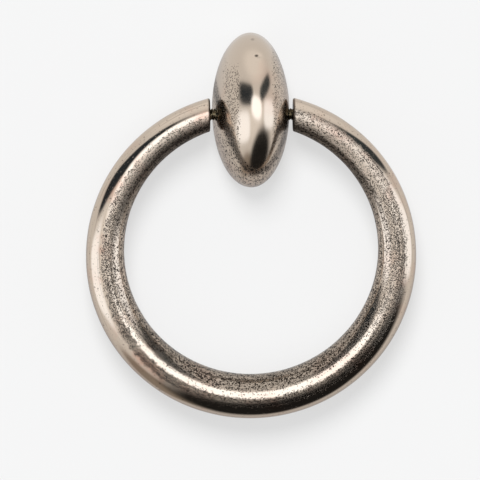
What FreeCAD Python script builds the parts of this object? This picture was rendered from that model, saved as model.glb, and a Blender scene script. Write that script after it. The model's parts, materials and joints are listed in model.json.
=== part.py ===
"""Ring pull handle for a drawer or cabinet door.

A domed boss screws to the drawer front from behind. An open ring, thick at its foot and
slim at its ends, hangs from the boss on two short pivot pins, one in each flank.

Frame, in millimetres: the drawer front is the plane Y = 0, the handle stands out of it
towards -Y, +Z is up, and the origin is the mouth of the fixing hole. The pivot axis runs
along X at the height of the origin, and the ring hangs straight down from it.
"""
import FreeCAD
import Part
import Sketcher
import math
import os

# Driving dimensions: name, millimetres, what it is.
SIZES = [
    ("boss_diameter", 28.1, "boss, the round outline of its full lens shape, seen along X"),
    ("boss_width", 14.0, "boss, along X, at its widest"),
    ("boss_back_cut", 0.7, "boss, from the middle of the lens shape to where its base begins"),
    ("boss_base", 2.5, "straight base of the boss, from the lens shape to the flat back"),
    ("boss_edge_radius", 0.3, "rounding of the boss's back edge"),
    ("screw_hole_diameter", 3.3, "tapping drill of the M4 fixing hole"),
    ("screw_hole_depth", 9.0, "fixing hole, from the back face to its flat floor"),
    ("screw_hole_chamfer", 0.4, "lead-in at the mouth of the fixing hole"),
    ("pivot_wall", 1.25, "metal left between the fixing hole and a pivot bore"),
    ("pin_diameter", 2.2, "pivot pin"),
    ("pin_clearance", 0.05, "radial running clearance of a pin in the boss"),
    ("pin_tip_clearance", 0.3, "between a pin's tip and the floor of its bore"),
    ("pin_grip", 3.5, "length of a pin that is pressed into the ring"),
    ("pin_chamfer", 0.2, "lead-in at both ends of a pin"),
    ("ring_outer_diameter", 60.0, "outline circle of the ring"),
    ("ring_section", 7.0, "diameter of the ring's section halfway up its sides"),
    ("ring_taper", 1.15, "how much thicker the section is at the foot than at the sides"),
    ("ring_side_clearance", 0.5, "from each end of the ring to the boss's widest part"),
    ("ring_front_clearance", 2.4, "from the thickest part of the ring to the drawer front"),
    ("ring_end_radius", 0.35, "rounding of the rim of the ring's ends"),
]
RING_SECTIONS = 13

# Lengths that follow from the driving dimensions.
MEAN_RADIUS = "((Sizes.ring_outer_diameter - Sizes.ring_section) / 2)"
HALF_GAP = "(Sizes.boss_width / 2 + Sizes.ring_side_clearance)"
STANDOFF = "((Sizes.ring_section + Sizes.ring_taper) / 2 + Sizes.ring_front_clearance)"
RING_DROP = f"sqrt({MEAN_RADIUS} ^ 2 - {HALF_GAP} ^ 2)"
BORE_FLOOR = "(Sizes.screw_hole_diameter / 2 + Sizes.pivot_wall)"
PIN_TIP = f"({BORE_FLOOR} + Sizes.pin_tip_clearance)"
PIN_LENGTH = f"({HALF_GAP} + Sizes.pin_grip - {PIN_TIP})"

# How a sketch names its own origin and axes, and a circle or line its points.
SKETCH_ORIGIN = (-1, 1)
X_AXIS, Y_AXIS = range(-1, -3, -1)
START, END, CENTRE = range(1, 4)
FLATNESS = 1e-4


def make_sheet(doc):
    """The spreadsheet of driving dimensions, one alias a row."""
    sheet = doc.addObject("Spreadsheet::Sheet", "Sizes")
    for row, (name, value, meaning) in enumerate(SIZES, start=1):
        sheet.set(f"A{row}", meaning)
        sheet.set(f"B{row}", str(value))
        sheet.setAlias(f"B{row}", name)
    doc.recompute()
    return sheet


def new_body(doc, name):
    body = doc.addObject("PartDesign::Body", name)
    body.Label = name
    return body


def origin_plane(body, role):
    return next(plane for plane in body.Origin.OriginFeatures if plane.Role == role)


def new_sketch(body, role, name):
    """A sketch on one of the body's own origin planes."""
    sketch = body.newObject("Sketcher::SketchObject", name)
    sketch.AttachmentSupport = [(origin_plane(body, role), "")]
    sketch.MapMode = "FlatFace"
    return sketch


def dimension(sketch, name, expression, *constraint):
    """A named dimension of a sketch, tied to the sizes."""
    number = sketch.addConstraint(Sketcher.Constraint(*constraint, 1.0))
    sketch.renameConstraint(number, name)
    sketch.setExpression(f"Constraints.{name}", expression)


def add_circle(sketch, radius, left_of_origin=None):
    """A circle at the sketch's origin, or on its x axis to the left of the origin."""
    circle = sketch.addGeometry(Part.Circle(), False)
    dimension(sketch, "radius", radius, "Radius", circle)
    if left_of_origin is None:
        sketch.addConstraint(Sketcher.Constraint("Coincident", circle, CENTRE, *SKETCH_ORIGIN))
    else:
        sketch.addConstraint(Sketcher.Constraint("PointOnObject", circle, CENTRE, X_AXIS))
        dimension(sketch, "centre", left_of_origin, "DistanceX", circle, CENTRE, *SKETCH_ORIGIN)
    return sketch


def pivot_circle(body, name, radius, distance):
    """A circle on the pivot axis, in the plane X = distance."""
    sketch = new_sketch(body, "YZ_Plane", name)
    sketch.setExpression("AttachmentOffset.Base.z", distance)
    return add_circle(sketch, radius, left_of_origin=STANDOFF)


def cut(body, name, profile, depth=None, along_normal=True):
    """A pocket along the profile's normal or against it, right through unless depth is
    given. It has to take metal away."""
    before = body.Shape.Volume
    pocket = body.newObject("PartDesign::Pocket", name)
    pocket.Profile = profile
    pocket.Reversed = along_normal
    if depth is None:
        pocket.Type = "ThroughAll"
    else:
        pocket.setExpression("Length", depth)
    body.Document.recompute()
    if not body.Shape.Volume < before:
        raise RuntimeError(f"{name} cuts nothing")
    return pocket


def mirror_in_x(body, feature, name):
    """Repeats a feature on the other side of the plane X = 0."""
    mirror = body.newObject("PartDesign::Mirrored", name)
    mirror.Originals = [feature]
    mirror.MirrorPlane = (origin_plane(body, "YZ_Plane"), [""])
    body.Tip = mirror
    body.Document.recompute()


def dress(body, kind, name, edges, size_name, size):
    """A Fillet or Chamfer on edges of the body as it stands."""
    base = body.Tip
    feature = body.newObject(f"PartDesign::{kind}", name)
    feature.Base = (base, edges)
    feature.setExpression(size_name, size)
    body.Document.recompute()


def lies_in_plane(item, axis, distance):
    """Whether an edge or face lies in the plane axis = distance."""
    ends = (getattr(item.BoundBox, f"{axis}Min"), getattr(item.BoundBox, f"{axis}Max"))
    return all(abs(end - distance) < FLATNESS for end in ends)


def edges_in_plane(shape, axis, distance, smallest=0.0, largest=float("inf")):
    """Names of the edges that lie in the plane axis = distance and span that size."""
    names = []
    for number, edge in enumerate(shape.Edges, start=1):
        if lies_in_plane(edge, axis, distance) and smallest < edge.BoundBox.DiagonalLength < largest:
            names.append(f"Edge{number}")
    return names


def face_in_plane(shape, axis, distance):
    """Name of the face that lies in the plane axis = distance, in a list."""
    numbers = [n for n, face in enumerate(shape.Faces, start=1) if lies_in_plane(face, axis, distance)]
    return [f"Face{numbers[0]}"]


def dome_profile(body):
    """Half an ellipse and the line that closes it. The sketch's x axis is the axis that the
    lens shape turns about, a little behind the front of the base."""
    sketch = new_sketch(body, "XY_Plane", "DomeProfile")
    sketch.setExpression("AttachmentOffset.Base.y", "Sizes.boss_back_cut - Sizes.boss_base")
    front = FreeCAD.Vector(0, -2, 0)
    side = FreeCAD.Vector(1, 0, 0)
    ellipse = Part.Ellipse(front, side, FreeCAD.Vector())
    quarter_turn = math.pi / 2
    arc = sketch.addGeometry(Part.ArcOfEllipse(ellipse, -quarter_turn, quarter_turn), False)
    line = sketch.addGeometry(Part.LineSegment(-side, side), False)
    sketch.exposeInternalGeometry(arc)
    long_axis, short_axis = line + 1, line + 2
    for rule in (
        ("Coincident", arc, CENTRE, *SKETCH_ORIGIN),
        ("PointOnObject", long_axis, START, Y_AXIS),
        ("PointOnObject", arc, START, X_AXIS),
        ("PointOnObject", arc, END, X_AXIS),
        ("Coincident", line, START, arc, START),
        ("Coincident", line, END, arc, END),
    ):
        sketch.addConstraint(Sketcher.Constraint(*rule))
    dimension(sketch, "depth", "Sizes.boss_diameter", "Distance", long_axis)
    dimension(sketch, "width", "Sizes.boss_width", "Distance", short_axis)
    return sketch


def make_boss(doc, sheet):
    """A dome on a short straight base, with a tapped hole in the back and a blind pivot bore
    in each flank."""
    body = new_body(doc, "boss")
    profile = dome_profile(body)
    dome = body.newObject("PartDesign::Revolution", "Dome")
    dome.Profile = profile
    dome.ReferenceAxis = (profile, ["H_Axis"])
    dome.Angle = 360
    doc.recompute()

    trim = new_sketch(body, "XZ_Plane", "BackTrim")
    trim.setExpression("AttachmentOffset.Base.z", "Sizes.boss_base")
    dome_back = cut(body, "DomeBack", add_circle(trim, "Sizes.boss_diameter"), along_normal=False)
    base = body.newObject("PartDesign::Pad", "Base")
    base.Profile = (dome_back, face_in_plane(dome_back.Shape, "Y", -sheet.boss_base))
    base.setExpression("Length", "Sizes.boss_base")
    doc.recompute()

    hole = add_circle(new_sketch(body, "XZ_Plane", "ScrewHoleCircle"), "Sizes.screw_hole_diameter / 2")
    cut(body, "ScrewHole", hole, depth="Sizes.screw_hole_depth")
    bore_radius = "Sizes.pin_diameter / 2 + Sizes.pin_clearance"
    bore = cut(body, "PivotBore", pivot_circle(body, "PivotBoreCircle", bore_radius, BORE_FLOOR))
    mirror_in_x(body, bore, "PivotBores")

    mouth = 2 * sheet.screw_hole_diameter
    mouth_edges = edges_in_plane(body.Shape, "Y", 0, largest=mouth)
    dress(body, "Chamfer", "HoleLeadIn", mouth_edges, "Size", "Sizes.screw_hole_chamfer")
    back_edges = edges_in_plane(body.Shape, "Y", 0, smallest=mouth)
    dress(body, "Fillet", "BackEdge", back_edges, "Radius", "Sizes.boss_edge_radius")
    return body


def ring_section(body, number, share):
    """One round section of the ring. Share runs from -1 at one end of the tube, through 0
    at the foot of the ring, to 1 at the other end."""
    turn = f"({share} * (180 deg - asin({HALF_GAP} / 2 / {MEAN_RADIUS})))"
    sketch = new_sketch(body, "YZ_Plane", f"RingSection{number}")
    tilt = FreeCAD.Rotation(FreeCAD.Vector(1, 0, 0), 1)
    sketch.AttachmentOffset = FreeCAD.Placement(FreeCAD.Vector(), tilt)
    for place, expression in (
        ("Base.x", f"-{STANDOFF}"),
        ("Base.y", f"-{RING_DROP} - {MEAN_RADIUS} * cos({turn})"),
        ("Base.z", f"{MEAN_RADIUS} * sin({turn})"),
        ("Rotation.Angle", f"-{turn}"),
    ):
        sketch.setExpression(f"AttachmentOffset.{place}", expression)
    return add_circle(sketch, f"(Sizes.ring_section + Sizes.ring_taper * cos({turn})) / 2")


def end_gap(body):
    """The rectangle that opens the ring round the boss, from the ring's middle upwards."""
    sketch = new_sketch(body, "XZ_Plane", "EndGap")
    corners = [FreeCAD.Vector(x, z, 0) for x, z in ((-1, -1), (1, -1), (1, 1), (-1, 1))]
    foot, right, top, left = [
        sketch.addGeometry(Part.LineSegment(corners[k - 1], corners[k]), False) for k in (1, 2, 3, 0)
    ]
    for rule in (
        ("Coincident", foot, END, right, START),
        ("Coincident", right, END, top, START),
        ("Coincident", top, END, left, START),
        ("Coincident", left, END, foot, START),
        ("Horizontal", top),
        ("Vertical", right),
        ("Vertical", left),
        ("Symmetric", foot, START, foot, END, Y_AXIS),
    ):
        sketch.addConstraint(Sketcher.Constraint(*rule))
    dimension(sketch, "width", f"2 * {HALF_GAP}", "DistanceX", foot, START, foot, END)
    dimension(sketch, "below", RING_DROP, "DistanceY", foot, START, *SKETCH_ORIGIN)
    dimension(sketch, "above", "Sizes.ring_outer_diameter / 2", "DistanceY", *SKETCH_ORIGIN, top, START)
    return sketch


def make_ring(doc):
    """An open ring of round section, with ends cut square to the pivot axis and bored for
    the pins."""
    body = new_body(doc, "ring")
    last = RING_SECTIONS - 1
    sections = [ring_section(body, k, 2 * k / last - 1) for k in range(RING_SECTIONS)]
    doc.recompute()
    tube = body.newObject("PartDesign::AdditiveLoft", "RingTube")
    tube.Profile = sections[0]
    tube.Sections = sections[1:]
    doc.recompute()

    cut(body, "RingEnds", end_gap(body))
    half_gap = body.evalExpression(HALF_GAP)
    rims = edges_in_plane(body.Shape, "X", half_gap) + edges_in_plane(body.Shape, "X", -half_gap)
    dress(body, "Fillet", "EndRims", rims, "Radius", "Sizes.ring_end_radius")
    circle = pivot_circle(body, "PinBoreCircle", "Sizes.pin_diameter / 2", HALF_GAP)
    mirror_in_x(body, cut(body, "PinBore", circle, depth="Sizes.pin_grip"), "PinBores")
    return body


def make_pin(doc, name, side):
    """A pivot pin on one side of the boss: side is 1 for +X and -1 for -X."""
    body = new_body(doc, name)
    shank = body.newObject("PartDesign::Pad", f"{name}_shank")
    shank.Profile = pivot_circle(body, f"{name}_circle", "Sizes.pin_diameter / 2", f"{side} * {PIN_TIP}")
    shank.Reversed = side < 0
    shank.setExpression("Length", PIN_LENGTH)
    doc.recompute()
    ends = [f"Edge{number}" for number, edge in enumerate(body.Shape.Edges, start=1) if edge.isClosed()]
    dress(body, "Chamfer", f"{name}_ends", ends, "Size", "Sizes.pin_chamfer")
    return body


def check(doc, bodies):
    """Stops if anything failed to build."""
    for item in doc.Objects:
        if {"Invalid", "Error"} & set(item.State):
            raise RuntimeError(f"{item.Name} failed: {item.State}")
    for body in bodies:
        if body.Shape.isNull() or not body.Shape.isValid() or len(body.Shape.Solids) != 1:
            raise RuntimeError(f"{body.Label} is not one sound solid")


def main():
    doc = FreeCAD.newDocument("RingPull")
    sheet = make_sheet(doc)
    bodies = [
        make_boss(doc, sheet),
        make_ring(doc),
        make_pin(doc, "pivot_pin_left", -1),
        make_pin(doc, "pivot_pin_right", 1),
    ]
    doc.recompute()
    check(doc, bodies)
    os.makedirs("parts", exist_ok=True)
    for body in bodies:
        body.Shape.exportStep(f"parts/{body.Label}.step")
        print(f"{body.Label}: {body.Shape.Volume:.1f} mm3")


main()
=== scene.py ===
# %% [markdown]
# # A ring pull for a drawer
# The handle is an old-looking cast pull: a domed oval boss sits on the drawer front, and an open ring
# hangs from it on two short threaded pins. Boss and ring are antique pewter, polished where hands touch
# them and pitted where they don't. This lesson loads the solid model, keeps its sizes, and gives every
# piece its true surface. We begin with the solid model, because everything else is measured from it.

import json
import math

import bmesh
import bpy
import mathutils
from mathutils import Matrix, Vector

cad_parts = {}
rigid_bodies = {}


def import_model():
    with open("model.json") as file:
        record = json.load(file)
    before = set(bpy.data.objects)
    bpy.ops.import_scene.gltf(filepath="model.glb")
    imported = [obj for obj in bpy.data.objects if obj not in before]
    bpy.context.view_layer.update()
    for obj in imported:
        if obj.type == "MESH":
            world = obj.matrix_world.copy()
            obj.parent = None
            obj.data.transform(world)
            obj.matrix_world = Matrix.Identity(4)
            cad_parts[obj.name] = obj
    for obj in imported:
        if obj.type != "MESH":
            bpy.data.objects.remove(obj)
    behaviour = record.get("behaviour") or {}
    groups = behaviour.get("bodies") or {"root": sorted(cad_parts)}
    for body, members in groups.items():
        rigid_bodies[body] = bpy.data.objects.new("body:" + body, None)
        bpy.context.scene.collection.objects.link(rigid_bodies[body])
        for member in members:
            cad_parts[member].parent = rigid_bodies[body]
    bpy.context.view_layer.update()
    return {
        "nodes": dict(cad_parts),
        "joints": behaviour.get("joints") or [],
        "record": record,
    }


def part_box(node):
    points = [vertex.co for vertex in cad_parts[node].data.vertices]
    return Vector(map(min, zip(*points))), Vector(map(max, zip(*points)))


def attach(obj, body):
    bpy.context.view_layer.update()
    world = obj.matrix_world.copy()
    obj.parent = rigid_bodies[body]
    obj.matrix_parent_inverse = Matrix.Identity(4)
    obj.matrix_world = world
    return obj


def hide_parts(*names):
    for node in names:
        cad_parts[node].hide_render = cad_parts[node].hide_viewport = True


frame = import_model()
print("solid pieces:", ", ".join(sorted(frame["nodes"])))

# %% [markdown]
# ## Sizes
# Blender works in metres here, so small sizes are written in millimetres and scaled by one factor. The
# pivot, the tapped hole and the outer sizes are read from the model. Only what a bounding box can't
# tell, such as how much the ring tapers, is written down.

# %% Read the sizes
MM = 0.001
PIVOT = Vector(frame["joints"][0]["pos_m"])
TAP = next(m for m in frame["record"]["mounts"] if m["kind"] == "threaded_hole")
boss_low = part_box("boss")[0]
ring_low, ring_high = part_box("ring")
pin_low, pin_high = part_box("pivot_pin_right")

BOSS_RADIUS = 14.05 * MM
BOSS_HALF_WIDTH = 7.0 * MM
BOSS_CENTRE = Vector((0, boss_low.y + BOSS_RADIUS, 0))
BOSS_BASE = 2.5 * MM
BOSS_LEAN = math.radians(3)
BOSS_EDGE = 0.3 * MM

RING_SECTION = 3.5 * MM
RING_TAPER = 0.575 * MM
RING_END = 7.5 * MM
RING_END_ROUND = 0.35 * MM
RING_MIDLINE = (ring_high.x - ring_low.x) / 2 - RING_SECTION
RING_CENTRE = PIVOT - Vector((0, 0, math.sqrt(RING_MIDLINE**2 - RING_END**2)))

PIN_RADIUS = (pin_high.z - pin_low.z) / 2
print(f"ring mid-line radius {RING_MIDLINE / MM:.2f} mm, pin radius {PIN_RADIUS / MM:.2f} mm")

# %% [markdown]
# ## The camera
# A product picture like this one is taken from far away with a long lens, so the near and far sides
# of the ring look equally big. The camera stands two metres off, ten degrees above the handle and two
# to its left. Its lens follows from how many pixels one metre covers, and the handle's place in the
# frame is set by moving the camera sideways, which keeps the lens free of shift.

# %% Place the camera
IMAGE_SIZE = 480
SENSOR = 36.0
PIXELS_PER_METRE = 5515.0
VIEW_AZIMUTH = math.radians(-2.0)
VIEW_ELEVATION = math.radians(10.1)
VIEW_ROLL = math.radians(0.1)
CAMERA_DISTANCE = 2.0
AIM_POINT = Vector((0, -6.5 * MM, -21 * MM))
AIM_PIXEL = (251.2, 228.6)


def view_axes(azimuth, elevation, roll):
    """The picture's right, up and towards-the-camera directions."""
    back = Vector((
        math.sin(azimuth) * math.cos(elevation),
        -math.cos(azimuth) * math.cos(elevation),
        math.sin(elevation),
    ))
    level = Vector((math.cos(azimuth), math.sin(azimuth), 0))
    plumb = back.cross(level)
    right = level * math.cos(roll) + plumb * math.sin(roll)
    up = plumb * math.cos(roll) - level * math.sin(roll)
    return right, up, back


def place_camera():
    right, up, back = VIEW_AXES
    data = bpy.data.cameras.new("photo_camera")
    data.sensor_width = SENSOR
    data.lens = PIXELS_PER_METRE * CAMERA_DISTANCE * SENSOR / IMAGE_SIZE
    data.clip_end = 2 * CAMERA_DISTANCE
    camera = bpy.data.objects.new("photo_camera", data)
    middle = IMAGE_SIZE / 2
    sideways = right * (middle - AIM_PIXEL[0]) / PIXELS_PER_METRE
    upwards = up * (AIM_PIXEL[1] - middle) / PIXELS_PER_METRE
    turn = Matrix((right, up, back)).transposed().to_4x4()
    place = AIM_POINT + sideways + upwards + back * CAMERA_DISTANCE
    camera.matrix_world = Matrix.Translation(place) @ turn
    bpy.context.scene.collection.objects.link(camera)
    bpy.context.scene.camera = camera
    return camera


VIEW_AXES = view_axes(VIEW_AZIMUTH, VIEW_ELEVATION, VIEW_ROLL)
photo_camera = place_camera()
bpy.context.scene.view_settings.view_transform = "Standard"
print(f"lens {photo_camera.data.lens:.0f} mm at {CAMERA_DISTANCE:.0f} m")

# %% [markdown]
# ## Arithmetic with nodes
# Much of what follows is a formula worked out by nodes, in a world, in a material or in a mesh. Adding
# Math nodes one by one makes such a formula hard to read, so a small class stands for "a number that
# changes from place to place". Plain arithmetic on it adds the nodes.

# %% A number that changes from place to place


def feed(tree, socket, value):
    """Links a socket to a field or another socket, or sets its plain value."""
    if isinstance(value, Field):
        tree.links.new(value.socket, socket)
    elif isinstance(value, bpy.types.NodeSocket):
        tree.links.new(value, socket)
    else:
        socket.default_value = value


def calc(tree, operation, *values):
    """Adds one Math node."""
    node = tree.nodes.new("ShaderNodeMath")
    node.operation = operation
    for socket, value in zip(node.inputs, values):
        feed(tree, socket, value)
    return Field(tree, node.outputs[0])


class Field:
    """A number that changes from place to place."""

    def __init__(self, tree, socket):
        self.tree = tree
        self.socket = socket

    def __add__(self, other):
        return calc(self.tree, "ADD", self, other)

    def __radd__(self, other):
        return calc(self.tree, "ADD", other, self)

    def __sub__(self, other):
        return calc(self.tree, "SUBTRACT", self, other)

    def __rsub__(self, other):
        return calc(self.tree, "SUBTRACT", other, self)

    def __mul__(self, other):
        return calc(self.tree, "MULTIPLY", self, other)

    def __rmul__(self, other):
        return calc(self.tree, "MULTIPLY", other, self)

    def __truediv__(self, other):
        return calc(self.tree, "DIVIDE", self, other)

    def __rtruediv__(self, other):
        return calc(self.tree, "DIVIDE", other, self)

    def of(self, operation, *others):
        return calc(self.tree, operation, self, *others)

    def fade(self, start, end):
        """Goes smoothly from 0 at start to 1 at end."""
        node = self.tree.nodes.new("ShaderNodeMapRange")
        node.interpolation_type = "SMOOTHSTEP"
        for name, value in (("Value", self), ("From Min", start), ("From Max", end)):
            feed(self.tree, node.inputs[name], value)
        return Field(self.tree, node.outputs["Result"])

    def band(self, start, full, still_full, end):
        """Goes from 0 at start to 1 at full, stays there up to still_full, and is 0 again at end."""
        return self.fade(start, full) * self.fade(end, still_full)

    def share(self, start, end):
        """Goes evenly from 0 at start to 1 at end, and stays there."""
        return ((self - start) / (end - start)).of("MAXIMUM", 0.0).of("MINIMUM", 1.0)


def split(tree, vector):
    node = tree.nodes.new("ShaderNodeSeparateXYZ")
    feed(tree, node.inputs[0], vector)
    return [Field(tree, socket) for socket in node.outputs]


def join(tree, x, y, z):
    node = tree.nodes.new("ShaderNodeCombineXYZ")
    for socket, value in zip(node.inputs, (x, y, z)):
        feed(tree, socket, value)
    return node.outputs[0]


def mix_colours(tree, amount, first, second):
    node = tree.nodes.new("ShaderNodeMix")
    node.data_type = "RGBA"
    # A Mix node has sockets for every kind of value, and these are the ones for colours.
    for number, value in ((0, amount), (6, first), (7, second)):
        feed(tree, node.inputs[number], value)
    return node.outputs[2]


def noise(tree, vector, scale, detail, roughness):
    node = tree.nodes.new("ShaderNodeTexNoise")
    for name, value in (("Vector", vector), ("Scale", scale), ("Detail", detail), ("Roughness", roughness)):
        feed(tree, node.inputs[name], value)
    return Field(tree, node.outputs["Fac"])


print("fields ready")

# %% [markdown]
# ## The studio
# Polished metal has little colour of its own: it shows the room. This handle was lit in a pale tent
# with three bright panels, one in front and one on each side, a bright ceiling and a glow around the
# front panel. Three dark openings and a shaded corner low on the left give the metal its contrast. So
# the world is painted with those: every direction is turned into degrees across and degrees up from
# the camera, and each patch is a soft-edged oval or rectangle there, painted over the ones before it.
# The camera itself sees only a pale grey.

# %% Paint the tent
PALE = (0.92, 0.92, 0.92, 1)
SHADED_BOARD = (0.46, 0.45, 0.45, 1)
# Keeps a division safe where the length would be 0.
TINY = 1e-6
# Centre and half size in degrees across and up, turn, squareness, softness, and the colour there.
PANELS = {
    "tent": ((0, 50), (150, 168), 0, 2.0, 0.20, (0.72, 0.72, 0.72, 1)),
    "ceiling": ((0, 72), (58, 28), 0, 2.0, 0.40, (0.88, 0.88, 0.88, 1)),
    "front glow": ((-6, -14), (40, 34), 0, 2.0, 0.40, (0.88, 0.88, 0.88, 1)),
    "upper left opening": ((-50, 21), (33, 16), 0, 4.0, 0.20, (0.025, 0.032, 0.040, 1)),
    "upper right opening": ((54, 34), (33, 13), 24, 3.0, 0.25, (0.04, 0.052, 0.06, 1)),
    "lower left shade": ((-52, -88), (32, 25), 0, 2.0, 0.35, (0.28, 0.25, 0.22, 1)),
    "lower opening": ((22, -71), (64, 40), 28, 2.0, 0.24, (0.014, 0.014, 0.014, 1)),
    "left panel": ((-65, -24), (28, 21), 0, 3.0, 0.28, (1.29, 1.37, 1.48, 1)),
    "right panel": ((71, -5), (27, 21), 0, 3.0, 0.28, (1.24, 1.32, 1.43, 1)),
    "front panel": ((2, 3), (30, 17), -6, 2.5, 0.24, (1.62, 1.73, 1.87, 1)),
}


def look_direction(tree):
    """How far across and how far up a direction lies from the camera, in degrees."""
    coordinates = tree.nodes.new("ShaderNodeTexCoord")
    parts = []
    for axis in VIEW_AXES:
        dot = tree.nodes.new("ShaderNodeVectorMath")
        dot.operation = "DOT_PRODUCT"
        tree.links.new(coordinates.outputs["Generated"], dot.inputs[0])
        dot.inputs[1].default_value = axis
        parts.append(Field(tree, dot.outputs["Value"]))
    right, up, back = parts
    angle = back.of("ARCCOSINE").of("DEGREES")
    length = (right * right + up * up + TINY).of("SQRT")
    return angle * right / length, angle * up / length


def soft_panel(across, up, centre, half, turn, squareness, softness):
    """A mask that is 1 on a panel and fades out over its edge. A squareness of 2 is an oval."""
    across = across - centre[0]
    up = up - centre[1]
    cosine = math.cos(math.radians(turn))
    sine = math.sin(math.radians(turn))
    long = (across * cosine + up * sine).of("ABSOLUTE") / half[0]
    short = (up * cosine - across * sine).of("ABSOLUTE") / half[1]
    reach = (long.of("POWER", squareness) + short.of("POWER", squareness)).of("POWER", 1 / squareness)
    return reach.fade(1 + softness, 1 - softness)


def paint_tent():
    world = bpy.data.worlds.new("light_tent")
    world.use_nodes = True
    tree = world.node_tree
    tree.nodes.clear()
    across, up = look_direction(tree)
    colour = SHADED_BOARD
    for *panel, shown in PANELS.values():
        colour = mix_colours(tree, soft_panel(across, up, *panel), colour, shown)
    tent = tree.nodes.new("ShaderNodeBackground")
    feed(tree, tent.inputs["Color"], colour)
    plain = tree.nodes.new("ShaderNodeBackground")
    plain.inputs["Color"].default_value = PALE
    choose = tree.nodes.new("ShaderNodeMixShader")
    path = tree.nodes.new("ShaderNodeLightPath")
    output = tree.nodes.new("ShaderNodeOutputWorld")
    tree.links.new(path.outputs["Is Camera Ray"], choose.inputs[0])
    tree.links.new(tent.outputs[0], choose.inputs[1])
    tree.links.new(plain.outputs[0], choose.inputs[2])
    tree.links.new(choose.outputs[0], output.inputs["Surface"])
    bpy.context.scene.world = world


paint_tent()
print("painted on the tent:", ", ".join(PANELS))

# %% [markdown]
# The handle lies against a pale board, where it throws a soft shadow downwards and a little to the
# right. The board is one-sided, so that the handle can also be looked at from behind. The metal
# doesn't see the board itself: in the painted world a shaded grey stands in its place.

# %% The board and the key light
BOARD_SIZE = 1.2
BOARD_GAP = 0.1 * MM
BOARD_COLOUR = (0.92, 0.92, 0.92, 1)
# The camera sees the board mostly by its own glow, so that the shadow stays pale.
BOARD_GLOW_COLOUR = (0.732, 0.728, 0.722, 1)
BOARD_GLOW = 0.80
KEY_STRENGTH = 4.3
KEY_ANGLE = math.radians(25)
KEY_FROM = Vector((-0.10, -0.80, 0.58))


def board_material():
    material = bpy.data.materials.new("pale_board")
    material.use_nodes = True
    tree = material.node_tree
    tree.nodes.clear()
    paint = tree.nodes.new("ShaderNodeBsdfDiffuse")
    paint.inputs["Color"].default_value = BOARD_COLOUR
    glow = tree.nodes.new("ShaderNodeEmission")
    glow.inputs["Color"].default_value = BOARD_GLOW_COLOUR
    path = tree.nodes.new("ShaderNodeLightPath")
    lit = tree.nodes.new("ShaderNodeMixShader")
    feed(tree, lit.inputs[0], Field(tree, path.outputs["Is Camera Ray"]) * BOARD_GLOW)
    tree.links.new(paint.outputs[0], lit.inputs[1])
    tree.links.new(glow.outputs[0], lit.inputs[2])
    clear = tree.nodes.new("ShaderNodeBsdfTransparent")
    geometry = tree.nodes.new("ShaderNodeNewGeometry")
    one_sided = tree.nodes.new("ShaderNodeMixShader")
    output = tree.nodes.new("ShaderNodeOutputMaterial")
    tree.links.new(geometry.outputs["Backfacing"], one_sided.inputs[0])
    tree.links.new(lit.outputs[0], one_sided.inputs[1])
    tree.links.new(clear.outputs[0], one_sided.inputs[2])
    tree.links.new(one_sided.outputs[0], output.inputs["Surface"])
    return material


def make_board():
    half = BOARD_SIZE / 2
    corners = [(x * half, BOARD_GAP, z * half) for x, z in ((-1, -1), (1, -1), (1, 1), (-1, 1))]
    mesh = bpy.data.meshes.new("pale_board")
    mesh.from_pydata(corners, [], [(0, 1, 2, 3)])
    mesh.materials.append(board_material())
    board = bpy.data.objects.new("pale_board", mesh)
    board.visible_glossy = False
    board.visible_shadow = False
    bpy.context.scene.collection.objects.link(board)


def make_key_light():
    data = bpy.data.lights.new("key_light", "SUN")
    data.energy = KEY_STRENGTH
    data.angle = KEY_ANGLE
    key = bpy.data.objects.new("key_light", data)
    key.rotation_mode = "QUATERNION"
    key.rotation_quaternion = KEY_FROM.to_track_quat("Z", "Y")
    key.visible_glossy = False
    bpy.context.scene.collection.objects.link(key)


make_board()
make_key_light()
print("board and key light placed")

# %% [markdown]
# ## Effects that the finishes share
# Two effects make pewter look old. Pitting is what a rough mould leaves: tiny hollows that hold dark
# patina, crowded in some places and missing in others. The tint is a faint drift of colour, from
# pewter to copper, as the thin plating wears. Each is a node group, so both castings use the same ones
# with their own amounts.

# %% Node groups for pitting and tint


def new_group(name, inputs, outputs):
    """A shader group with named sockets, and its input and output nodes."""
    tree = bpy.data.node_groups.new(name, "ShaderNodeTree")
    for socket, kind in inputs.items():
        tree.interface.new_socket(socket, in_out="INPUT", socket_type=kind)
    for socket, kind in outputs.items():
        tree.interface.new_socket(socket, in_out="OUTPUT", socket_type=kind)
    return tree, tree.nodes.new("NodeGroupInput"), tree.nodes.new("NodeGroupOutput")


def pitting_group():
    """Dark hollows of one grain size, the more of them the higher the amount."""
    tree, given, result = new_group(
        "cast_pitting",
        {"Position": "NodeSocketVector", "Amount": "NodeSocketFloat", "Grain": "NodeSocketFloat"},
        {"Pits": "NodeSocketFloat", "Height": "NodeSocketFloat"},
    )
    position = given.outputs["Position"]
    fineness = 1.0 / Field(tree, given.outputs["Grain"])
    cells = tree.nodes.new("ShaderNodeTexVoronoi")
    feed(tree, cells.inputs["Vector"], position)
    feed(tree, cells.inputs["Scale"], fineness)
    # Every cell has its own chance of being a pit and its own size, and pits crowd in clumps.
    chance, size = split(tree, cells.outputs["Color"])[:2]
    clump = noise(tree, position, fineness * 0.15, 2.0, 0.5)
    amount = Field(tree, given.outputs["Amount"]) * (0.25 + clump * 1.5)
    present = (amount - chance).fade(-0.05, 0.05)
    reach = 0.4 + size * 0.25
    pits = Field(tree, cells.outputs["Distance"]).fade(reach + 0.08, reach - 0.08) * present
    feed(tree, result.inputs["Pits"], pits)
    feed(tree, result.inputs["Height"], 0.0 - pits)
    return tree


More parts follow.
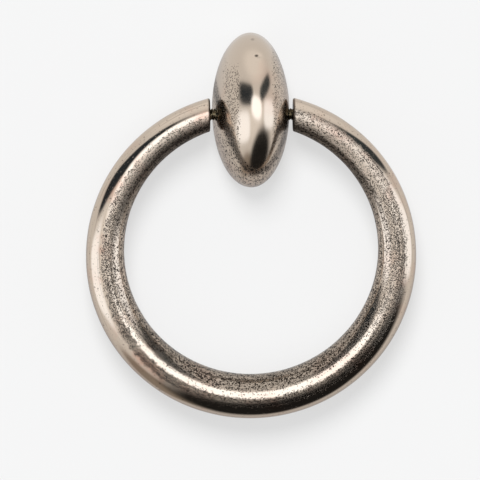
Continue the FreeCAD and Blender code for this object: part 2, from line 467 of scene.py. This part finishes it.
def tint_group():
    """Metal that drifts towards a second colour in soft patches."""
    tree, given, result = new_group(
        "worn_tint",
        {"Position": "NodeSocketVector", "Metal": "NodeSocketColor", "Worn": "NodeSocketColor",
         "Amount": "NodeSocketFloat", "Patch": "NodeSocketFloat"},
        {"Colour": "NodeSocketColor"},
    )
    fineness = 1.0 / Field(tree, given.outputs["Patch"])
    drift = noise(tree, given.outputs["Position"], fineness, 3.0, 0.6).fade(0.45, 0.75)
    share = drift * given.outputs["Amount"]
    feed(tree, result.inputs["Colour"],
         mix_colours(tree, share, given.outputs["Metal"], given.outputs["Worn"]))
    return tree


PITTING = pitting_group()
TINT = tint_group()
print("groups:", PITTING.name, "and", TINT.name)

# %% [markdown]
# ## The pewter finishes
# Both castings start from the same metal: a Principled shader, fully metallic, with a warm grey
# colour. Patina, a dark film, gathers in the pits and wherever nothing rubs it off. The same dark colour
# also serves as painted shade on the ring and as a painted reflection on the boss. What differs is where
# the pits, the patina and the painted dark lie. How strongly each zone counts was found by holding one
# render after another against the photo.

# %% Helpers for the finishes
PEWTER = (0.74, 0.62, 0.505, 1)
COPPER = (0.70, 0.46, 0.35, 1)
# The dark of patina; it is also painted as shade on the ring and as the ring's reflection on the boss.
PATINA_AND_SHADE = (0.030, 0.023, 0.018, 1)
PIT_DEPTH = 0.01 * MM
PIT_ROUGHNESS = 0.15


def new_material(name):
    """A node material with its tree and its Principled shader."""
    material = bpy.data.materials.new(name)
    material.use_nodes = True
    tree = material.node_tree
    shader = tree.nodes["Principled BSDF"]
    shader.inputs["Metallic"].default_value = 1.0
    return material, tree, shader


def place_on_piece(tree, centre):
    """The piece's own coordinates in millimetres, counted from a centre."""
    coordinates = tree.nodes.new("ShaderNodeTexCoord")
    mapping = tree.nodes.new("ShaderNodeMapping")
    mapping.inputs["Scale"].default_value = (1 / MM,) * 3
    mapping.inputs["Location"].default_value = -centre / MM
    tree.links.new(coordinates.outputs["Object"], mapping.inputs["Vector"])
    return mapping.outputs["Vector"]


def use_group(tree, group, **values):
    """Adds a node group and sets its named sockets."""
    node = tree.nodes.new("ShaderNodeGroup")
    node.node_tree = group
    for name, value in values.items():
        feed(tree, node.inputs[name], value)
    return node


def finish_surface(tree, shader, colour, pits, height, roughness):
    """Puts the dark colour where the mask says: patina in the pits and, on the boss, also a painted
    reflection. Joins everything to the shader.
    """
    darkened = mix_colours(tree, pits, colour, PATINA_AND_SHADE)
    feed(tree, shader.inputs["Base Color"], darkened)
    feed(tree, shader.inputs["Roughness"], roughness + pits * PIT_ROUGHNESS)
    bump = tree.nodes.new("ShaderNodeBump")
    bump.inputs["Distance"].default_value = PIT_DEPTH
    feed(tree, bump.inputs["Height"], height)
    tree.links.new(bump.outputs["Normal"], shader.inputs["Normal"])


print("pewter", PEWTER[:3], "with patina", PATINA_AND_SHADE[:3])

# %% [markdown]
# On the ring, two angles tell everything: one around the bar and one along the ring. The outer rim is
# rubbed clean, and so is a crest along the front of the foot. The rest is cast skin with its pits, fine
# at the front and coarse inside. Patina fills the scratches, which run along the ring. The end faces,
# the undersides of the ends, the inside of the foot and the shoulder below the crest get the same dark
# colour as painted shade, with some patina in it.

# %% Pewter for the ring
RING_GRAIN = 0.16
COARSE_GRAIN = 0.32
# Zones around the bar in degrees: 0 is the front, minus the outer rim, plus the inside. Two numbers
# tell where a zone begins and where it is full, and four also where it is still full and ends.
ROUGH_CAST = (-26, -14)
WORN_EDGE = (-38, -22, -10, 4)
SHOULDER = (-24, -14, 0, 7)
CREST = (2, 8, 18, 26)
INSIDE = (20, 36)
UNDER_END = (22, 34)
INNER_LINE = (26, 33, 48, 55)
# Zones along the ring, in degrees to either side of the foot.
FOOT = (85, 45)
INNER_LINE_ALONG = (50, 65, 105, 120)
ENDS = (95, 130)
# The rubbed rim is wider on the left, by this share of the angle along the ring.
RIM_DRIFT = 0.075
# Zones waver by up to half of this angle to each side.
WAVER = 20.0
# Zones in millimetres: out from the middle to the end faces, and up into the upper half of the ring.
END_FACE = (RING_END / MM + 0.55, RING_END / MM + 0.15)
UPPER_HALF = (0.0, 5.0)
# How fast the streaks change, for each degree along the ring and around the bar.
STREAK_ALONG = 0.03
STREAK_AROUND = 0.13


def ring_pewter():
    material, tree, shader = new_material("ring_pewter")
    place = place_on_piece(tree, RING_CENTRE)
    x, y, z = split(tree, place)

    # The two angles, and streaks that are drawn out along the ring.
    side = (x * x + z * z).of("SQRT") - RING_MIDLINE / MM
    around = (0.0 - side).of("ARCTAN2", 0.0 - y).of("DEGREES")
    angle = around + (noise(tree, place, 0.8, 3.0, 0.6) - 0.5) * WAVER
    along = x.of("ARCTAN2", 0.0 - z).of("DEGREES")
    far = along.of("ABSOLUTE")
    spot = join(tree, along * STREAK_ALONG, around * STREAK_AROUND, 0.0)
    streaks = noise(tree, spot, 1.0, 3.0, 0.6) - 0.5

    # The zones.
    foot = far.fade(*FOOT)
    ends = far.fade(*ENDS)
    rough_cast = (angle + along * RIM_DRIFT).fade(*ROUGH_CAST)
    crest = angle.band(*CREST) * foot
    inside = angle.fade(*INSIDE)
    inner_line = around.band(*INNER_LINE) * far.band(*INNER_LINE_ALONG)
    worn_edge = angle.band(*WORN_EDGE)
    shoulder = angle.band(*SHOULDER) * foot
    under_end = angle.fade(*UNDER_END) * ends
    end_face = x.of("ABSOLUTE").fade(*END_FACE) * z.fade(*UPPER_HALF)

    # Fine pits on the cast skin, fewer towards the ends and on the crest, and coarse ones inside.
    crowd = 0.92 - foot * 0.12 - ends * 0.42 + streaks * 1.4
    many = 0.015 + rough_cast * crowd - crest * 0.70 - inner_line * 0.35 - inside * 0.2
    fine = use_group(tree, PITTING, Position=place, Amount=many, Grain=RING_GRAIN)
    few = inside * (0.5 + streaks - inner_line * 0.4)
    coarse = use_group(tree, PITTING, Position=place, Amount=few, Grain=COARSE_GRAIN)
    pits = Field(tree, fine.outputs["Pits"]).of("MAXIMUM", coarse.outputs["Pits"])
    height = Field(tree, fine.outputs["Height"]).of("MINIMUM", coarse.outputs["Height"])

    # Patina in the scratches. The end faces, the undersides of the ends, the inside of the foot and the
    # shoulder below its crest get the same dark colour as painted shade, with some patina in it.
    patina_and_shade = end_face * 0.85
    patina_and_shade = patina_and_shade.of("MAXIMUM", under_end * (0.72 + streaks * 0.6))
    patina_and_shade = patina_and_shade.of("MAXIMUM", streaks.fade(0.06, 0.20) * (0.25 + rough_cast * 0.30))
    patina_and_shade = patina_and_shade.of("MAXIMUM", inside * foot * 0.32)
    patina_and_shade = patina_and_shade.of("MAXIMUM", shoulder * (0.60 + streaks))

    tint = use_group(tree, TINT, Position=place, Metal=PEWTER, Worn=COPPER,
                     Amount=0.4 + worn_edge * 0.6, Patch=6.0)
    colour = mix_colours(tree, patina_and_shade, tint.outputs["Colour"], PATINA_AND_SHADE)
    roughness = 0.10 + inside * 0.03 + rough_cast * ends * 0.30
    finish_surface(tree, shader, colour, pits, height, roughness)
    return material


RING_FINISH = ring_pewter()
print("finish:", RING_FINISH.name)

# %% [markdown]
# On the boss the polishing wheel left two upright bands of pits beside the smooth middle. It never
# reached below a line that hangs from flank to flank: the pits are coarser there. The line itself carries
# a painted reflection of the ring, a dark band with coarse pits in it. Two casting flaws high on the
# front hold patina. The back was ground flat, so it has no pits.

# %% Pewter for the boss
BOSS_GRAIN = 0.20
# The two bands in millimetres across and up: where each begins, is full, is still full and ends.
PITTED_BANDS = [
    ((-5.5, -4.6, -2.8, -1.9), (-6.5, -4.0, 8.0, 10.5)),
    ((3.3, 4.1, 5.9, 6.7), (-6.0, -3.5, 10.5, 12.5)),
]
# The hanging line: its lowest point in millimetres across and up, and how strongly it bends. Then how
# far from it the painted reflection of the ring ends and is full, and where the unpolished skin begins
# and is full.
HANGING_LOW = (0.95, -9.6)
HANGING_BEND = 0.5
HANGING_REFLECTION = (0.95, 0.2)
UNPOLISHED = (0.3, -0.3)
# How far back the ground skin begins and the cast skin is whole, in millimetres from the dome's centre.
CAST_SKIN = (1.75, 1.45)
# The flaws: places and sizes in millimetres, and how much patina they hold.
FLAWS = [
    {"across": 0.77, "up": 11.30, "half_width": 0.45, "half_height": 0.25, "depth": 0.12, "patina": 0.85},
    {"across": 0.23, "up": 13.53, "half_width": 0.45, "half_height": 0.20, "depth": 0.04, "patina": 0.30},
]


def flaw_patina(x, z):
    """A mask of the dark patina that sits in the casting flaws."""
    patina = 0.0
    for flaw in FLAWS:
        far_x = (x - flaw["across"]) / flaw["half_width"]
        far_z = (z - flaw["up"]) / flaw["half_height"]
        hollow = (far_x * far_x + far_z * far_z).of("SQRT").fade(1.1, 0.3)
        patina = (hollow * flaw["patina"]).of("MAXIMUM", patina)
    return patina


def boss_pewter():
    material, tree, shader = new_material("boss_pewter")
    place = place_on_piece(tree, BOSS_CENTRE)
    x, y, z = split(tree, place)

    # The zones. The hanging line is a parabola, and hanging is the distance above it.
    left_band, right_band = (x.band(*across) * z.band(*up) for across, up in PITTED_BANDS)
    slope = (x - HANGING_LOW[0]) * HANGING_BEND
    hanging = (z - HANGING_LOW[1] - slope * slope) / (1.0 + slope * slope).of("SQRT")
    line = hanging.of("ABSOLUTE").fade(*HANGING_REFLECTION)
    unpolished = hanging.fade(*UNPOLISHED)
    cast = y.fade(*CAST_SKIN)

    # Fine pits in the bands and coarse ones below the line.
    bands = (left_band + right_band) * cast * 0.47 - 0.05
    fine = use_group(tree, PITTING, Position=place, Amount=bands, Grain=BOSS_GRAIN)
    below = (unpolished * 0.45 + line * 0.5) * cast - 0.05
    coarse = use_group(tree, PITTING, Position=place, Amount=below, Grain=COARSE_GRAIN)
    pits = (Field(tree, fine.outputs["Pits"]) * 0.85).of("MAXIMUM", coarse.outputs["Pits"])
    # The line itself is darkened as a painted reflection of the ring; the flaws hold patina.
    dark = pits.of("MAXIMUM", flaw_patina(x, z) * cast).of("MAXIMUM", line * cast * 0.55)

    # Faint marks of the wheel, which ran over the dome from top to bottom.
    arc = z.of("ARCTAN2", 0.0 - y) * (BOSS_RADIUS / MM)
    marks = noise(tree, join(tree, x * 5.0, arc * 0.25, 0.0), 1.0, 2.0, 0.5)
    height = Field(tree, fine.outputs["Height"]) + coarse.outputs["Height"] + marks * 0.2

    tint = use_group(tree, TINT, Position=place, Metal=PEWTER, Worn=COPPER,
                     Amount=0.4 + unpolished * cast * 0.4, Patch=9.0)
    cloud = noise(tree, place, 0.5, 2.0, 0.5)
    finish_surface(tree, shader, tint.outputs["Colour"], dark, height, 0.12 + cloud * 0.08)
    return material


BOSS_FINISH = boss_pewter()
print("finish:", BOSS_FINISH.name)

# %% [markdown]
# The pins are plain steel, stained dark in patches.

# %% Steel for the pins
PIN_STEEL = (0.40, 0.34, 0.23, 1)
PIN_DARK = (0.035, 0.03, 0.02, 1)


def pin_steel():
    material, tree, shader = new_material("pin_steel")
    place = place_on_piece(tree, PIVOT)
    stain = noise(tree, place, 1.6, 3.0, 0.6).fade(0.35, 0.6)
    feed(tree, shader.inputs["Base Color"], mix_colours(tree, stain, PIN_STEEL, PIN_DARK))
    feed(tree, shader.inputs["Roughness"], 0.18 + stain * 0.2)
    return material


PIN_FINISH = pin_steel()
print("finish:", PIN_FINISH.name)

# %% [markdown]
# ## The ring
# The ring is a round bar bent into an open circle. It is thickest at the foot, where the finger pulls,
# and slims towards its two ends, which are cut square across the pivot line. A curve with a bevel
# could give the bar but not the square ends. Because every point follows from two numbers, how far
# along and how far around, a flat grid is bent into shape by a formula, in Geometry Nodes. We begin
# with what every such tree needs.

# %% A tree that starts from a grid
# Points closer than this are welded, and an edge that turns more sharply than this stays hard.
WELD_DISTANCE = 0.0005 * MM
HARD_EDGE = math.radians(50)


def new_shape(name, inputs):
    """A Geometry Nodes tree with named inputs, its input fields and its output node."""
    tree = bpy.data.node_groups.new(name, "GeometryNodeTree")
    for socket, kind in inputs.items():
        tree.interface.new_socket(socket, in_out="INPUT", socket_type=kind)
    tree.interface.new_socket("Shape", in_out="OUTPUT", socket_type="NodeSocketGeometry")
    given = tree.nodes.new("NodeGroupInput")
    fields = {socket: Field(tree, given.outputs[socket]) for socket in inputs}
    return tree, fields, tree.nodes.new("NodeGroupOutput")


def new_grid(tree, steps_along, steps_around):
    """A flat grid, with its row number and its turn from 0 to 1 as fields."""
    grid = tree.nodes.new("GeometryNodeMeshGrid")
    feed(tree, grid.inputs["Size X"], 1.0)
    feed(tree, grid.inputs["Size Y"], 1.0)
    feed(tree, grid.inputs["Vertices X"], steps_along + 1)
    feed(tree, grid.inputs["Vertices Y"], steps_around + 1)
    position = tree.nodes.new("GeometryNodeInputPosition")
    across, turn = split(tree, position.outputs[0])[:2]
    return grid.outputs["Mesh"], (across + 0.5) * steps_along, turn + 0.5


def bend_grid(tree, mesh, x, y, z):
    node = tree.nodes.new("GeometryNodeSetPosition")
    tree.links.new(mesh, node.inputs["Geometry"])
    tree.links.new(join(tree, x, y, z), node.inputs["Position"])
    return node.outputs["Geometry"]


def weld_and_finish(tree, result, mesh, material):
    """Welds the seams, keeps hard edges hard, and gives the shape its finish."""
    weld = tree.nodes.new("GeometryNodeMergeByDistance")
    weld.inputs["Distance"].default_value = WELD_DISTANCE
    tree.links.new(mesh, weld.inputs["Geometry"])
    smooth = tree.nodes.new("GeometryNodeSetShadeSmooth")
    tree.links.new(weld.outputs[0], smooth.inputs["Geometry"])
    corner = tree.nodes.new("GeometryNodeInputMeshEdgeAngle")
    hard = Field(tree, corner.outputs["Unsigned Angle"]).of("GREATER_THAN", HARD_EDGE)
    crease = tree.nodes.new("GeometryNodeSetShadeSmooth")
    crease.domain = "EDGE"
    crease.inputs["Shade Smooth"].default_value = False
    feed(tree, crease.inputs["Selection"], hard)
    tree.links.new(smooth.outputs[0], crease.inputs["Geometry"])
    real = tree.nodes.new("GeometryNodeRealizeInstances")
    tree.links.new(crease.outputs[0], real.inputs["Geometry"])
    paint = tree.nodes.new("GeometryNodeSetMaterial")
    tree.links.new(real.outputs[0], paint.inputs["Geometry"])
    feed(tree, paint.inputs["Material"], material)
    tree.links.new(paint.outputs[0], result.inputs["Shape"])


def make_piece(name, tree, values):
    """Runs a tree with these values and returns the result as a plain mesh object."""
    piece = bpy.data.objects.new(name, bpy.data.meshes.new(name))
    bpy.context.scene.collection.objects.link(piece)
    modifier = piece.modifiers.new("shape", "NODES")
    modifier.node_group = tree
    for item in tree.interface.items_tree:
        if item.in_out == "INPUT":
            modifier[item.identifier] = values[item.name]
    depsgraph = bpy.context.evaluated_depsgraph_get()
    mesh = bpy.data.meshes.new_from_object(
        piece.evaluated_get(depsgraph), preserve_all_data_layers=True, depsgraph=depsgraph)
    mesh.name = name
    piece.modifiers.clear()
    piece.data = mesh
    return piece


print("grid trees ready")

# %% [markdown]
# One half of the ring is made from the foot to an end: the bar, its rounded rim, the end face and the
# hole for the pin. The other half is its mirror image. A casting is never quite true, so the bar lies
# up to 0.06 millimetres below its true surface, in waves some millimetres long.

# %% The open ring
FULL_TURN = 2 * math.pi
UNEVENNESS = 0.06 * MM
WAVE = 6.0 * MM
# Rows of points along half the bar, over the rim, across the end face, and down the bore as well as
# across its floor. Then the points around the bar.
BAR_STEPS = 360
ROUND_STEPS = 6
FACE_STEPS = 8
BORE_STEPS = 4
AROUND_STEPS = 112


def open_ring_tree():
    sizes = ("Mid-line Radius", "Section Radius", "Taper", "End Distance", "End Round", "Bore Radius",
             "Bore Depth", "Unevenness", "Wave")
    inputs = {name: "NodeSocketFloat" for name in sizes}
    inputs.update({"Steps Along": "NodeSocketInt", "Steps Around": "NodeSocketInt"})
    inputs["Finish"] = "NodeSocketMaterial"
    tree, given, result = new_shape("open_ring", inputs)
    midline, section, taper, end, rim, bore, depth, unevenness, wave = (given[name] for name in sizes)
    bar_steps = given["Steps Along"]
    steps = bar_steps + (ROUND_STEPS + FACE_STEPS + 2 * BORE_STEPS)
    mesh, row, turn = new_grid(tree, steps, given["Steps Around"])

    # How far each row has gone along the bar, the rounded rim, the end face, the bore and its floor.
    along = row.share(0.0, bar_steps)
    row = row - bar_steps
    rounding = row.share(0.0, ROUND_STEPS) * (math.pi / 2)
    inward = (row - ROUND_STEPS).share(0.0, FACE_STEPS)
    drilled = (row - (ROUND_STEPS + FACE_STEPS)).share(0.0, BORE_STEPS)
    floor = (row - (ROUND_STEPS + FACE_STEPS + BORE_STEPS)).share(0.0, BORE_STEPS)

    # The bar: a circle of changing radius carried along the mid-line, from the foot to the end.
    around = turn * FULL_TURN
    end_radius = section - taper * (1.0 - (end / midline) * (end / midline)).of("SQRT")
    last_reach = midline + end_radius * around.of("COSINE")
    last_angle = math.pi - ((end + rim) / last_reach).of("ARCSINE")
    angle = along * last_angle
    spot = join(tree, angle * midline, section * around.of("COSINE"), section * around.of("SINE"))
    hollow = unevenness * noise(tree, spot, 1.0 / wave, 1.0, 0.5)
    radius = section + taper * angle.of("COSINE") - hollow
    reach = midline + radius * around.of("COSINE")
    drop = (midline * midline - end * end).of("SQRT")
    bar_x = reach * angle.of("SINE")
    bar_y = 0.0 - radius * around.of("SINE")
    bar_z = 0.0 - drop - reach * angle.of("COSINE")

    # The end: the last circle shrinks over the rim, across the face, and goes down the bore.
    wide = (bar_y * bar_y + bar_z * bar_z).of("SQRT")
    face = wide - rim * (1.0 - rounding.of("COSINE"))
    shrunk = (face + (bore - face) * inward) * (1.0 - floor)
    at_end = (row + 0.5).of("GREATER_THAN", 0.0)
    keep = 1.0 - at_end
    scale = keep + at_end * shrunk / wide
    end_x = end + rim * (1.0 - rounding.of("SINE")) + depth * drilled
    half = bend_grid(tree, mesh, bar_x * keep + end_x * at_end, bar_y * scale, bar_z * scale)

    mirror = tree.nodes.new("GeometryNodeTransform")
    mirror.inputs["Scale"].default_value = (-1, 1, 1)
    tree.links.new(half, mirror.inputs["Geometry"])
    flip = tree.nodes.new("GeometryNodeFlipFaces")
    tree.links.new(mirror.outputs[0], flip.inputs["Mesh"])
    both = tree.nodes.new("GeometryNodeJoinGeometry")
    tree.links.new(flip.outputs[0], both.inputs[0])
    tree.links.new(half, both.inputs[0])
    weld_and_finish(tree, result, both.outputs[0], given["Finish"])
    return tree


ring_casting = make_piece("ring_casting", open_ring_tree(), {
    "Mid-line Radius": RING_MIDLINE,
    "Section Radius": RING_SECTION,
    "Taper": RING_TAPER,
    "End Distance": RING_END,
    "End Round": RING_END_ROUND,
    "Bore Radius": PIN_RADIUS,
    "Bore Depth": pin_high.x - RING_END,
    "Unevenness": UNEVENNESS,
    "Wave": WAVE,
    "Steps Along": BAR_STEPS,
    "Steps Around": AROUND_STEPS,
    "Finish": RING_FINISH,
})
ring_casting.data.transform(Matrix.Translation(PIVOT))
print("ring:", len(ring_casting.data.polygons), "faces")

# %% [markdown]
# ## The threaded pins
# A short threaded pin stands in each end of the ring and turns in the boss. Its fine thread shows in
# the narrow gap between them. A thread is a cylinder whose radius rises and falls along a helix, so
# the same kind of bent grid makes it. The tap that cuts the thread in the back of the boss has the
# same shape, only larger.

# %% The screw thread
# Rows of points in one turn of the thread, and points around it.
THREAD_ROWS = 10
THREAD_POINTS = 40


def screw_tree():
    sizes = ("Length", "Crest Radius", "Root Radius", "Pitch", "Chamfer")
    inputs = {name: "NodeSocketFloat" for name in sizes}
    inputs.update({"Steps Along": "NodeSocketInt", "Steps Around": "NodeSocketInt"})
    inputs["Finish"] = "NodeSocketMaterial"
    tree, given, result = new_shape("screw", inputs)
    length, crest, root, pitch, chamfer = (given[name] for name in sizes)
    rows = given["Steps Along"]
    mesh, row, turn = new_grid(tree, rows, given["Steps Around"])
    along = (row - 1.0).share(0.0, rows - 2.0) * length
    # The ridge rises and falls once in each pitch, with a narrow flat at its crest and at its root.
    phase = (along / pitch + turn).of("FRACT")
    ridge = (1.0 - (phase * 2.0 - 1.0).of("ABSOLUTE")).share(0.15, 0.85)
    thread = root + (crest - root) * ridge
    near_end = along.of("MINIMUM", length - along)
    radius = thread.of("MINIMUM", crest - chamfer + near_end)
    closed = row.of("MINIMUM", rows - row).of("GREATER_THAN", 0.5)
    around = turn * FULL_TURN
    width = radius * closed
    shape = bend_grid(tree, mesh, along, width * around.of("COSINE"), 0.0 - width * around.of("SINE"))
    weld_and_finish(tree, result, shape, given["Finish"])
    return tree


def make_screw(name, length, crest, root, pitch, chamfer, finish):
    return make_piece(name, SCREW, {
        "Length": length,
        "Crest Radius": crest,
        "Root Radius": root,
        "Pitch": pitch,
        "Chamfer": chamfer,
        "Steps Along": round(length / pitch * THREAD_ROWS) + 2,
        "Steps Around": THREAD_POINTS,
        "Finish": finish,
    })


SCREW = screw_tree()
PIN_PITCH = 0.45 * MM
PIN_THREAD_DEPTH = 0.2 * MM
PIN_CHAMFER = 0.2 * MM


def make_pin(side):
    """One pin, its thread running out from the boss to the left or to the right."""
    pin = make_screw(f"pivot_pin_{side}_thread", pin_high.x - pin_low.x, PIN_RADIUS,
                     PIN_RADIUS - PIN_THREAD_DEPTH, PIN_PITCH, PIN_CHAMFER, PIN_FINISH)
    turn = Matrix.Rotation(math.pi if side == "left" else 0, 4, "Z")
    pin.data.transform(Matrix.Translation(PIVOT) @ turn @ Matrix.Translation((pin_low.x, 0, 0)))
    return pin


pins = {side: make_pin(side) for side in ("left", "right")}
print("pins:", {side: len(pin.data.polygons) for side, pin in pins.items()})

# %% [markdown]
# ## The boss
# The boss is a lens: an oval that was turned about a line through its flanks, on a short straight base
# with a flat back. Loops of points run from the middle of the front to the rim, down the base, over a
# small rounded edge and in across the back. The dome is as uneven as the ring and leans three degrees
# to the right, and two flaws, tiny craters high on the front, are pressed into the mesh.

# %% The domed body
LOOP_POINTS = 300
DOME_LOOPS = 130
BASE_LOOPS = 8
EDGE_LOOPS = 6
BACK_LOOPS = 14


def hollow_depth(point):
    """How far the casting flaws and the uneven casting lie below the true surface."""
    depth = UNEVENNESS / 2 * (1 + mathutils.noise.noise(point / WAVE))
    for flaw in FLAWS:
        far_x = (point.x / MM - flaw["across"]) / flaw["half_width"]
        far_z = (point.z / MM - flaw["up"]) / flaw["half_height"]
        far = math.hypot(far_x, far_z)
        depth += flaw["depth"] * MM * math.exp(-far * far)
    return depth


def dome_point(angle, lean):
    """A point of the lens: angle runs around the outline, lean from the front to the rim."""
    point = Vector((
        BOSS_HALF_WIDTH * math.sin(lean) * math.cos(angle),
        -BOSS_RADIUS * math.cos(lean),
        BOSS_RADIUS * math.sin(lean) * math.sin(angle),
    ))
    slope = Vector((point.x / BOSS_HALF_WIDTH**2, point.y / BOSS_RADIUS**2, point.z / BOSS_RADIUS**2))
    point = BOSS_CENTRE + point - slope.normalized() * hollow_depth(point)
    point.x += math.tan(BOSS_LEAN) * max(0, -BOSS_BASE - point.y)
    return point


def boss_loops():
    """The loops of points, from the front to the middle of the back."""
    angles = [FULL_TURN * i / LOOP_POINTS for i in range(LOOP_POINTS)]
    base_lean = math.acos((BOSS_CENTRE.y + BOSS_BASE) / BOSS_RADIUS)
    for step in range(1, DOME_LOOPS):
        yield [dome_point(angle, base_lean * step / DOME_LOOPS) for angle in angles]
    rim = [dome_point(angle, base_lean) for angle in angles]
    outward = [
        Vector((math.cos(angle) / BOSS_HALF_WIDTH, 0, math.sin(angle) / BOSS_RADIUS)).normalized()
        for angle in angles
    ]

    def rim_loop(y, inset):
        return [Vector((point.x, y, point.z)) - out * inset for point, out in zip(rim, outward)]

    for step in range(BASE_LOOPS + 1):
        yield rim_loop(-BOSS_BASE + (BOSS_BASE - BOSS_EDGE) * step / BASE_LOOPS, 0)
    for step in range(1, EDGE_LOOPS + 1):
        turn = math.pi / 2 * step / EDGE_LOOPS
        yield rim_loop(BOSS_EDGE * (math.sin(turn) - 1), BOSS_EDGE * (1 - math.cos(turn)))
    back = rim_loop(0, BOSS_EDGE)
    for step in range(1, BACK_LOOPS):
        yield [point * (1 - step / BACK_LOOPS) for point in back]


def boss_body():
    shape = bmesh.new()
    front = shape.verts.new(dome_point(0, 0))
    loops = [[shape.verts.new(point) for point in loop] for loop in boss_loops()]
    back = shape.verts.new((0, loops[-1][0].co.y, 0))
    for i in range(LOOP_POINTS):
        j = (i + 1) % LOOP_POINTS
        shape.faces.new((front, loops[0][i], loops[0][j]))
        shape.faces.new((back, loops[-1][j], loops[-1][i]))
        for inner, outer in zip(loops, loops[1:]):
            shape.faces.new((inner[i], outer[i], outer[j], inner[j]))
    bmesh.ops.recalc_face_normals(shape, faces=shape.faces)
    for face in shape.faces:
        face.smooth = True
    mesh = bpy.data.meshes.new("boss_casting")
    shape.to_mesh(mesh)
    shape.free()
    body = bpy.data.objects.new("boss_casting", mesh)
    bpy.context.scene.collection.objects.link(body)
    return body


boss_casting = boss_body()
print("boss body:", len(boss_casting.data.polygons), "faces")

# %% [markdown]
# Now the pivot holes are drilled and the back is tapped, with Boolean modifiers, just as in the
# workshop. The pins turn in their holes, so these have a little play.

# %% Drill and tap it
PIVOT_PLAY = 0.05 * MM
PIVOT_BORE_RADIUS = PIN_RADIUS + PIVOT_PLAY
PIVOT_BORE_FLOOR = 2.9 * MM
BORE_POINTS = 48
TAP_RADIUS = TAP["dims"]["r_mm"] * MM
TAP_DEPTH = 9.0 * MM
TAP_PITCH = 0.7 * MM
TAP_THREAD = 0.3 * MM
TAP_CHAMFER = 0.4 * MM
# Cutters stick out of the body by this much, and edges that turn by more than this stay hard.
OVERSHOOT = 1.0 * MM
DRILLED_EDGE = math.radians(35)


def cutter_cone(name, start, end, start_radius, end_radius):
    """A closed cone or cylinder between two points."""
    shape = bmesh.new()
    axis = end - start
    turn = axis.to_track_quat("Z", "Y").to_matrix().to_4x4()
    place = Matrix.Translation((start + end) / 2) @ turn
    bmesh.ops.create_cone(shape, cap_ends=True, segments=BORE_POINTS, radius1=start_radius,
                          radius2=end_radius, depth=axis.length, matrix=place)
    mesh = bpy.data.meshes.new(name)
    shape.to_mesh(mesh)
    shape.free()
    cutter = bpy.data.objects.new(name, mesh)
    bpy.context.scene.collection.objects.link(cutter)
    return cutter


def pivot_bore(side):
    """The drill for one flank: -1 is the left one and 1 the right one."""
    floor = PIVOT + Vector((side * PIVOT_BORE_FLOOR, 0, 0))
    outside = PIVOT + Vector((side * (BOSS_HALF_WIDTH + OVERSHOOT), 0, 0))
    return cutter_cone(f"pivot_bore_{side}", floor, outside, PIVOT_BORE_RADIUS, PIVOT_BORE_RADIUS)


def mouth_cutter():
    """The countersink for the mouth of the tapped hole."""
    inner = Vector((0, -TAP_CHAMFER, 0))
    outer = Vector((0, OVERSHOOT, 0))
    return cutter_cone("mouth", inner, outer, TAP_RADIUS, TAP_RADIUS + TAP_CHAMFER + OVERSHOOT)


def tap_cutter():
    tap = make_screw("tap", TAP_DEPTH + TAP_PITCH, TAP_RADIUS + TAP_THREAD, TAP_RADIUS, TAP_PITCH,
                     TAP_THREAD, BOSS_FINISH)
    tap.data.transform(Matrix.Translation((0, -TAP_DEPTH, 0)) @ Matrix.Rotation(math.pi / 2, 4, "Z"))
    return tap


def cut(body, cutters):
    """Takes the cutters out of the body for good."""
    for cutter in cutters:
        modifier = body.modifiers.new(cutter.name, "BOOLEAN")
        modifier.operation = "DIFFERENCE"
        modifier.solver = "EXACT"
        modifier.object = cutter
    depsgraph = bpy.context.evaluated_depsgraph_get()
    mesh = bpy.data.meshes.new_from_object(body.evaluated_get(depsgraph), depsgraph=depsgraph)
    body.modifiers.clear()
    body.data = mesh
    for cutter in cutters:
        bpy.data.objects.remove(cutter)


def sharpen(piece, limit):
    """Keeps edges hard where two faces meet at more than the limit."""
    shape = bmesh.new()
    shape.from_mesh(piece.data)
    for face in shape.faces:
        face.smooth = True
    for edge in shape.edges:
        edge.smooth = edge.calc_face_angle(0.0) < limit
    shape.to_mesh(piece.data)
    shape.free()


cut(boss_casting, [pivot_bore(-1), pivot_bore(1), tap_cutter(), mouth_cutter()])
sharpen(boss_casting, DRILLED_EDGE)
boss_casting.data.materials.clear()
boss_casting.data.materials.append(BOSS_FINISH)
print("boss drilled and tapped:", len(boss_casting.data.polygons), "faces")

# %% [markdown]
# ## Hand over
# Each finished mesh takes the place of its solid and moves with the same body, so the ring swings with
# its pins in it.

# %% Put the pieces in place of the solids
HAND_OVER = [
    (boss_casting, "boss", "boss", "antique_pewter"),
    (ring_casting, "ring", "ring", "antique_pewter"),
    (pins["left"], "ring", "pivot_pin_left", "pin_steel"),
    (pins["right"], "ring", "pivot_pin_right", "pin_steel"),
]
for piece, body, node, slot in HAND_OVER:
    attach(piece, body)
    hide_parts(node)
